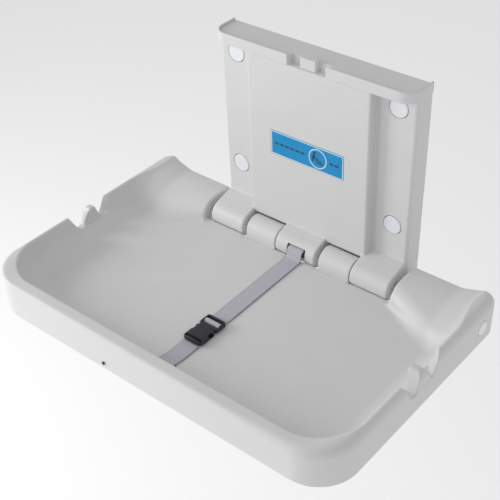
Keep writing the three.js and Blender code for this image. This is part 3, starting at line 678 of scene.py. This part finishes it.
def smooth_line(points, spacing):
    """A curve through points, sampled about every spacing."""
    points = np.array(points, float)
    padded = np.vstack([2 * points[0] - points[1], points, 2 * points[-1] - points[-2]])
    line = []
    for p0, p1, p2, p3 in zip(padded, padded[1:], padded[2:], padded[3:]):
        count = max(2, int(np.linalg.norm(p2 - p1) / spacing))
        t = (np.arange(count) / count)[:, None]
        bend = 2 * p0 - 5 * p1 + 4 * p2 - p3
        twist = 3 * p1 - p0 - 3 * p2 + p3
        line.append(0.5 * (2 * p1 + (p2 - p0) * t + bend * t**2 + twist * t**3))
    return np.vstack(line + [points[-1:]])


def strap(name, points, stitches=()):
    """Webbing that follows (y, z) points, with rounded edges, lengthwise ribs and rows of stitches."""
    line = smooth_line(points, 1.4)
    along = np.gradient(line, axis=0)
    along /= np.linalg.norm(along, axis=1)[:, None]
    out = np.stack([-along[:, 1], along[:, 0]], axis=1)
    out *= np.sign(out[len(out) // 2, 1])
    turns = np.radians(np.linspace(0, 360, AROUND, endpoint=False))
    s = BELT_HALF * np.sign(np.cos(turns)) * np.abs(np.cos(turns)) ** 0.7
    ribs = 1 - 0.1 * np.abs(np.sin(s * math.pi / 3.8))
    h = BELT_THIN * np.sign(np.sin(turns)) * np.abs(np.sin(turns)) ** 0.35 * ribs
    mesh = bpy.data.meshes.new(name)
    vertices = [
        (BELT_X + s[j], line[i, 0] + out[i, 0] * h[j], line[i, 1] + out[i, 1] * h[j])
        for i in range(len(line))
        for j in range(AROUND)
    ]
    faces = []
    for start in range(0, AROUND * (len(line) - 1), AROUND):
        for j in range(AROUND):
            k = (j + 1) % AROUND
            faces.append((start + j, start + k, start + AROUND + k, start + AROUND + j))
    last = AROUND * (len(line) - 1)
    faces += [tuple(range(AROUND - 1, -1, -1)), tuple(last + j for j in range(AROUND))]
    for y in stitches:
        i = int(np.argmin(np.abs(line[:, 0] - y)))
        for x in np.arange(-15, 15.1, 3):
            first = len(vertices)
            middle = np.array([BELT_X + x, *(line[i] + BELT_THIN * out[i])])
            normal = np.array([0, *out[i]])
            side = np.cross(normal, [1, 0, 0])
            vertices += [tuple(middle + 1.1 * np.array([t, 0, 0])) for t in (-1, 1)]
            for t, u in ((1, 0), (0, 1), (-1, 0), (0, -1)):
                vertices.append(tuple(middle + 0.3 * (t * side + u * normal)))
            for k in range(4):
                near, far = first + 2 + k, first + 2 + (k + 1) % 4
                faces += [(first, near, far), (first + 1, far, near)]
    mesh.from_pydata([tuple(MM * c for c in v) for v in vertices], [], faces)
    mesh.validate()
    mesh.update()
    obj = bpy.data.objects.new(name, mesh)
    bpy.context.scene.collection.objects.link(obj)
    turned_out = bmesh.new()
    turned_out.from_mesh(mesh)
    bmesh.ops.recalc_face_normals(turned_out, faces=turned_out.faces)
    turned_out.to_mesh(mesh)
    turned_out.free()
    mesh.polygons.foreach_set("use_smooth", np.ones(len(mesh.polygons), bool))
    return obj


rear = arc(-102, 8, 4.3, -130, 90, 9)
rear += [(-108, 12.2), (-113, 11.2), (-117.4, 8), (-119.6, 2), (-120.6, -4), (-125, -9)]
rear += [(y, dish_height(y) + LIFT) for y in (-134, -150, -170, -200, -230)]
rear_strap = strap("belt_rear", rear, (-140, -144))
rear_strap.data.materials.append(webbing)
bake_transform(rear_strap)
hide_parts("belt_strap_rear")

middle = [(y, dish_height(y) + LIFT) for y in (-230.1, -260, -300, -330, -350, -363)]
middle += [(-366.6, -14.8), (-369.6, -12.9), (-371.6, -9.8), (-373.8, -7.3), (-376.7, -6.7)]
middle += [(-379.6, -7.3), (-381.8, -9.6), (-383.8, -12.6), (-386.8, -14.3)]
middle_strap = strap("belt_middle", middle, (-340, -352))
middle_strap.data.materials.append(webbing)
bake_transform(middle_strap)

front = arc(-508, -24, 3.8, 50, -180, 10)
front += [(-511.7, -20), (-511.2, -17), (-508.5, -14.2), (-503, dish_height(-503) + LIFT)]
front += [(y, dish_height(y) + LIFT) for y in (-490, -475, -455, -440.5)]
dress(strap("belt_front", front, (-496, -452)), webbing, "tray", "webbing", "belt_strap_front")


def buckle_grid(y0, y1):
    """Sample points round one half of the buckle, whose own z = 0 is at BUCKLE_Z."""
    return Grid((-25, y0, -1.5), (25, y1, 13), 0.5)


def buckle_socket():
    """The hollow half: a mouth for the prongs, a window each side and a bar for the strap."""
    g = buckle_grid(-443, -392)
    outline = rounded_rect(g.x, g.y, -23, 23, -440, -394, 7)
    body = upright(outline, g.z, 0, 11 - 0.004 * g.x**2, 2.8)
    body = cut(body, box(g, -16, 16, -424, -390, 2, 9, 1), 0.6)
    for side in (-1, 1):
        gap = box(g, side * 23 - 7, side * 23 + 7, -414, -402, 2, 9, 1)
        body = cut(body, gap, 0.8)
    body = cut(body, box(g, -20, 20, -436.4, -430, -3, 15, 1.5), 1.2)
    body = cut(body, box(g, -11, 11, -425, -399, 10.2, 14, 2), 0.6)
    return moulded("buckle_socket_half", g, body, 40_000)


def buckle_plug():
    """The half with two barbed prongs and a guide, on a frame with two slots."""
    g = buckle_grid(-420, -360)
    frame_part = upright(rounded_rect(g.x, g.y, -23, 23, -393.7, -362, 6), g.z, 0.5, 10.5, 2.6)
    for y0, y1 in ((-386, -379.4), (-374, -367.4)):
        frame_part = cut(frame_part, box(g, -20, 20, y0, y1, -3, 15, 1), 1)
    frame_part = cut(frame_part, box(g, -20, 20, -381, -360, -3, 3.6), 0.8)
    frame_part = cut(frame_part, box(g, -20, 20, -380, -373.4, 8.4, 15), 0.8)
    across = np.abs(g.x)
    prong = upright(rounded_rect(across, g.y, 9, 13, -418, -391, 1.8), g.z, 3, 8, 1.2)
    barb = upright(rounded_rect(across, g.y, 9, 15.7, -414, -403, 2.4), g.z, 3, 8, 1.2)
    guide = box(g, -2.5, 2.5, -416, -391, 3, 8, 1.2)
    arms = smooth_min(smooth_min(prong, barb, 1), guide, 0.5)
    return moulded("buckle_plug_prongs", g, smooth_min(frame_part, arms, 1), 40_000)


for half, body, node in (
    (buckle_socket(), "tray", "buckle_socket"),
    (buckle_plug(), "buckle_plug_half", "buckle_plug"),
):
    half.location = (BELT_X * MM, 0, BUCKLE_Z * MM)
    dress(half, buckle_black, body, "buckle_black", node)


# ---------------------------------------------------------------- label
def flat_shapes(name, shapes, y0, y1):
    """Closed (x, z) outlines pushed out from y0 to y1. An outline in a pair is a ring: outer, inner."""
    made = bmesh.new()
    for shape in shapes:
        rings = shape if isinstance(shape, tuple) else (shape,)
        rows = []
        for ring in rings:
            for y in (y0, y1):
                rows.append([made.verts.new((x * MM, y * MM, z * MM)) for x, z in ring])
        count = len(rows[0])
        for back, front in zip(rows[::2], rows[1::2]):
            for i in range(count):
                j = (i + 1) % count
                made.faces.new((back[i], back[j], front[j], front[i]))
        if len(rows) == 2:
            made.faces.new(rows[0])
            made.faces.new(rows[1])
            continue
        for outer, inner in ((rows[0], rows[2]), (rows[1], rows[3])):
            for i in range(count):
                j = (i + 1) % count
                made.faces.new((outer[i], outer[j], inner[j], inner[i]))
    bmesh.ops.recalc_face_normals(made, faces=made.faces)
    mesh = bpy.data.meshes.new(name)
    made.to_mesh(mesh)
    made.free()
    obj = bpy.data.objects.new(name, mesh)
    bpy.context.scene.collection.objects.link(obj)
    return obj


def rounded(x0, x1, z0, z1, r, steps=8):
    """A rounded rectangle in x and z."""
    points = []
    right, left, high, low = x1 - r, x0 + r, z1 - r, z0 + r
    for x, z, start in ((right, high, 0), (left, high, 90), (left, low, 180), (right, low, 270)):
        for turn in np.radians(np.linspace(start, start + 90, steps)):
            points.append((x + r * math.cos(turn), z + r * math.sin(turn)))
    return points


def disc(x, z, r):
    return rounded(x - r, x + r, z - r, z + r, r, 16)


def turned(points, x, z, degrees):
    """Points turned about (x, z)."""
    c, s = math.cos(math.radians(degrees)), math.sin(math.radians(degrees))
    return [(x + (u - x) * c - (v - z) * s, z + (u - x) * s + (v - z) * c) for u, v in points]


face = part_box("label_plate")[0].y / MM
edge = (rounded(-89.2, 89.2, 191.8, 245.2, 2), rounded(-87.4, 87.4, 193.6, 243.4, 1))
ring = (disc(27.6, 218.5, 22), disc(27.6, 218.5, 20))
lines = flat_shapes("label_lines", [edge, ring], face + 0.2, face - 0.15)
dress(lines, label_white, "wall_unit", "label_blue")
table_sign = [
    disc(20, 230, 3.4),
    turned(rounded(14, 19.5, 209, 227, 2.5), 17, 218, -12),
    turned(rounded(17, 31, 219.5, 222.5, 1.4), 18, 221, -22),
    rounded(24, 42, 207.5, 210.5, 1.2),
    rounded(28, 38, 212, 215.4, 1.6),
    disc(24.6, 214, 2.4),
]
dashes = [rounded(x, x + 10, 216.2, 220.8, 1) for x in (-80, -67, -54, -41, -28, -15)]
dashes += [rounded(x, x + 10, 216.2, 220.8, 1) for x in (56, 69)]
sign = flat_shapes("label_sign", table_sign + dashes, face + 0.2, face - 0.12)
dress(sign, label_dark, "wall_unit", "label_blue")


# ---------------------------------------------------------------- stage, light, camera
def floor():
    """A plain pale floor well below the unit."""
    mesh = bpy.data.meshes.new("floor")
    size, level = 12.0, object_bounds()[0].z - 0.9
    corners = [(x * size, y * size, level) for x, y in ((-1, -1), (1, -1), (1, 1), (-1, 1))]
    mesh.from_pydata(corners, [], [(0, 1, 2, 3)])
    obj = bpy.data.objects.new("floor", mesh)
    bpy.context.scene.collection.objects.link(obj)
    mesh.materials.append(material("floor", (0.92, 0.92, 0.92), 0.9))
    glow = mesh.materials[0].node_tree.nodes["Principled BSDF"]
    glow.inputs["Emission Color"].default_value = (1, 1, 1, 1)
    glow.inputs["Emission Strength"].default_value = 0.2
    obj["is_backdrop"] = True


def area_light(name, place, target, size, power):
    data = bpy.data.lights.new(name, "AREA")
    data.shape = "SQUARE"
    data.size = size
    data.energy = power
    obj = bpy.data.objects.new(name, data)
    obj.location = place
    obj.rotation_mode = "QUATERNION"
    obj.rotation_quaternion = (Vector(target) - Vector(place)).to_track_quat("-Z", "Y")
    bpy.context.scene.collection.objects.link(obj)


floor()
area_light("key", (-2.2, -1.6, 0.9), (0, -0.25, 0.1), 1.0, 31)
area_light("fill", (-0.9, -2.4, 0.5), (0, -0.25, 0.1), 0.8, 6)
world = bpy.data.worlds.new("studio")
world.use_nodes = True
world.node_tree.nodes["Background"].inputs["Color"].default_value = (1, 1, 1, 1)
world.node_tree.nodes["Background"].inputs["Strength"].default_value = 0.56
bpy.context.scene.world = world
bpy.context.scene.view_settings.view_transform = "Standard"

camera = bpy.data.objects.new("camera", bpy.data.cameras.new("camera"))
camera.data.sensor_width = 36
camera.data.lens = 75.51
right = Vector((0.77046, 0.63655, -0.03458))
up = Vector((-0.36129, 0.48069, 0.79901))
turn = Matrix((right, up, right.cross(up))).transposed()
camera.matrix_world = Matrix.Translation((1.0781, -1.4915, 1.3239)) @ turn.to_4x4()
bpy.context.scene.collection.objects.link(camera)
bpy.context.scene.camera = camera
